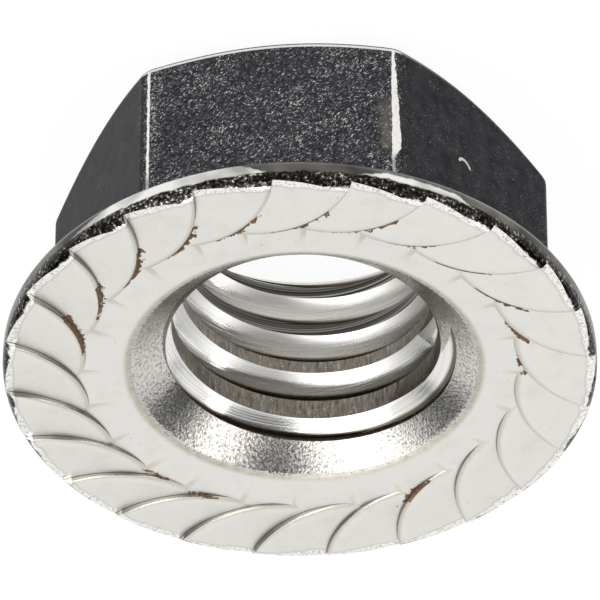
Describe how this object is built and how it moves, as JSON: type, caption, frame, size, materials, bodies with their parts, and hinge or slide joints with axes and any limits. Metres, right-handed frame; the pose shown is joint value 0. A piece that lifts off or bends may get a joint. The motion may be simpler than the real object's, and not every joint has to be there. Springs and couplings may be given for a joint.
{
  "type": "serrated flange nut",
  "caption": "Hexagon nut with a round flange, a coarse right-hand thread and curved one-way serrations on its bearing face.",
  "frame": {"origin": "centre of the hexagon's free end, on the axis of the thread", "axes": "+Z along the axis of the thread, from the hexagon's free end to the serrated bearing face; +X through a corner of the hexagon"},
  "size_m": [0.019, 0.019, 0.0084],
  "materials": {
    "steel": "satin cold-formed steel"
  },
  "bodies": {
    "root": {"flange_nut": "steel"}
  },
  "joints": []
}
